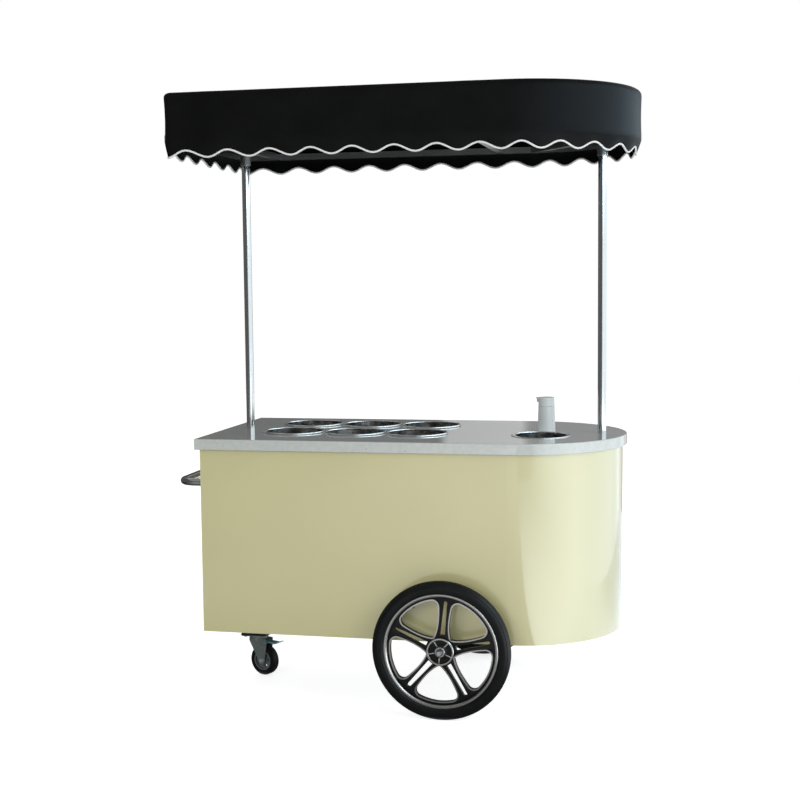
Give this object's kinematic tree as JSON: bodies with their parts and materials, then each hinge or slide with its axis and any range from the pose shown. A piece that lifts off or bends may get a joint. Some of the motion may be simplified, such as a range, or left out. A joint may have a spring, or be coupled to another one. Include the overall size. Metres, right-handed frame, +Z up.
{
  "type": "ice cream push cart",
  "caption": "Push cart with a D-shaped freezer cabinet, round tubs and sink in a stone counter, large spoked wheels, a braked caster and a scalloped canopy on poles.",
  "frame": {"origin": "middle of the part's length and width, on the ground under the wheels", "axes": "+X along the cart towards its round end, +Y towards the working side with the doors, +Z up"},
  "size_m": [1.759, 0.9946, 2.272],
  "materials": {
    "stone_top": "polished pale engineered stone with fine specks",
    "cream_paint": "glossy cream paint on sheet steel",
    "sheet_steel": "plain stainless sheet",
    "frame_steel": "black painted steel tube",
    "foam": "rigid foam",
    "copper": "copper pipe and plate",
    "polished_steel": "polished stainless steel",
    "black_paint": "black painted steel shell",
    "fin_aluminium": "bare fins",
    "black_plastic": "moulded plastic",
    "rubber": "moulded rubber",
    "white_plastic": "white moulded plastic",
    "red_plastic": "red rocker",
    "grey_plastic": "grey blow-moulded plastic",
    "white_glaze": "smooth white glaze",
    "canopy_cloth": "black coated canopy cloth",
    "bright_steel": "bright zinc-plated steel",
    "tyre_rubber": "black tyre rubber",
    "alloy_black": "black cast alloy with machined edges",
    "zinc_plate": "zinc-plated pressed steel",
    "blue_zinc": "blue-passivated pressed steel"
  },
  "bodies": {
    "cart": {"counter": "stone_top", "body_skin": "cream_paint", "end_panel": "cream_paint", "back_panel": "cream_paint", "floor_tray": "sheet_steel", "door_hinges": "sheet_steel", "freezer_liner": "sheet_steel", "sink_drain": "sheet_steel", "body_frame": "frame_steel", "axle_blocks": "frame_steel", "caster_riser": "frame_steel", "axle": "frame_steel", "insulation": "foam", "evaporator": "copper", "refrigerant_lines": "copper", "sink_bowl": "polished_steel", "canopy_poles": "polished_steel", "pole_sockets": "polished_steel", "canopy_lower_frame": "polished_steel", "canopy_upper_frame": "polished_steel", "canopy_posts": "polished_steel", "push_handle": "polished_steel", "compressor": "black_paint", "condenser": "fin_aluminium", "fan_motor": "black_plastic", "control_panel": "black_plastic", "mains_inlet": "black_plastic", "tank_caps": "black_plastic", "water_pump": "black_plastic", "compressor_feet": "rubber", "fresh_tank": "white_plastic", "supply_hose": "white_plastic", "waste_tank": "grey_plastic", "tap_column": "white_glaze", "canopy_cover": "canopy_cloth", "fixing_bolts": "bright_steel", "axle_nuts": "bright_steel", "caster_plate": "zinc_plate"},
    "front_wheel": {"front_tyre": "tyre_rubber", "front_rim": "alloy_black", "front_bearings": "bright_steel"},
    "back_wheel": {"back_tyre": "tyre_rubber", "back_rim": "alloy_black", "back_bearings": "bright_steel"},
    "caster_swivel": {"caster_fork": "zinc_plate", "caster_axle": "bright_steel"},
    "caster_roller": {"caster_wheel": "tyre_rubber"},
    "caster_brake": {"brake_pedal": "blue_zinc"},
    "service_door": {"service_door": "cream_paint"},
    "water_door": {"water_door": "cream_paint"},
    "fan": {"fan_blades": "sheet_steel"},
    "thermostat": {"thermostat_knob": "white_plastic"},
    "rocker": {"power_switch": "red_plastic"},
    "tap_spout": {"tap_head": "white_glaze"},
    "tub_front_left": {"tub_front_left": "polished_steel"},
    "tub_front_middle": {"tub_front_middle": "polished_steel"},
    "tub_front_right": {"tub_front_right": "polished_steel"},
    "tub_back_left": {"tub_back_left": "polished_steel"},
    "tub_back_middle": {"tub_back_middle": "polished_steel"},
    "tub_back_right": {"tub_back_right": "polished_steel"}
  },
  "joints": [
    {"name": "front_wheel_spin", "type": "hinge", "parent": "cart", "child": "front_wheel", "pos_m": [0.1985, -0.45, 0.254], "axis": [0, 1, 0], "continuous": true},
    {"name": "back_wheel_spin", "type": "hinge", "parent": "cart", "child": "back_wheel", "pos_m": [0.1985, 0.45, 0.254], "axis": [0, 1, 0], "continuous": true},
    {"name": "caster_turn", "type": "hinge", "parent": "cart", "child": "caster_swivel", "pos_m": [-0.6455, 0, 0.15], "axis": [0, 0, 1], "continuous": true},
    {"name": "caster_roll", "type": "hinge", "parent": "caster_swivel", "child": "caster_roller", "pos_m": [-0.61167, -0.01231, 0.061], "axis": [0.342, 0.9397, 0], "continuous": true},
    {"name": "brake_press", "type": "hinge", "parent": "caster_swivel", "child": "caster_brake", "pos_m": [-0.59664, -0.01778, 0.136], "axis": [0.342, 0.9397, 0], "range_deg": [0, 12]},
    {"name": "service_door_swing", "type": "hinge", "parent": "cart", "child": "service_door", "pos_m": [-0.6195, 0.3915, 0.475], "axis": [0, 0, 1], "range_deg": [0, 110]},
    {"name": "water_door_swing", "type": "hinge", "parent": "cart", "child": "water_door", "pos_m": [0.398, 0.3915, 0.73], "axis": [0, 0, -1], "range_deg": [0, 110]},
    {"name": "fan_spin", "type": "hinge", "parent": "cart", "child": "fan", "pos_m": [-0.2495, 0.235, 0.417], "axis": [0, 1, 0], "continuous": true},
    {"name": "thermostat_set", "type": "hinge", "parent": "cart", "child": "thermostat", "pos_m": [0.1055, 0.3895, 0.61], "axis": [0, -1, 0], "range_deg": [0, 270]},
    {"name": "power_rock", "type": "hinge", "parent": "cart", "child": "rocker", "pos_m": [0.0355, 0.3895, 0.61], "axis": [1, 0, 0], "range_deg": [0, 16]},
    {"name": "tap_swing", "type": "hinge", "parent": "cart", "child": "tap_spout", "pos_m": [0.5235, 0.039, 1.1], "axis": [0, 0, 1], "range_deg": [-60, 100]},
    {"name": "tub_front_left_lift", "type": "slide", "parent": "cart", "child": "tub_front_left", "axis": [0, 0, 1], "range_m": [0, 0.26]},
    {"name": "tub_front_middle_lift", "type": "slide", "parent": "cart", "child": "tub_front_middle", "axis": [0, 0, 1], "range_m": [0, 0.26]},
    {"name": "tub_front_right_lift", "type": "slide", "parent": "cart", "child": "tub_front_right", "axis": [0, 0, 1], "range_m": [0, 0.26]},
    {"name": "tub_back_left_lift", "type": "slide", "parent": "cart", "child": "tub_back_left", "axis": [0, 0, 1], "range_m": [0, 0.26]},
    {"name": "tub_back_middle_lift", "type": "slide", "parent": "cart", "child": "tub_back_middle", "axis": [0, 0, 1], "range_m": [0, 0.26]},
    {"name": "tub_back_right_lift", "type": "slide", "parent": "cart", "child": "tub_back_right", "axis": [0, 0, 1], "range_m": [0, 0.26]}
  ]
}
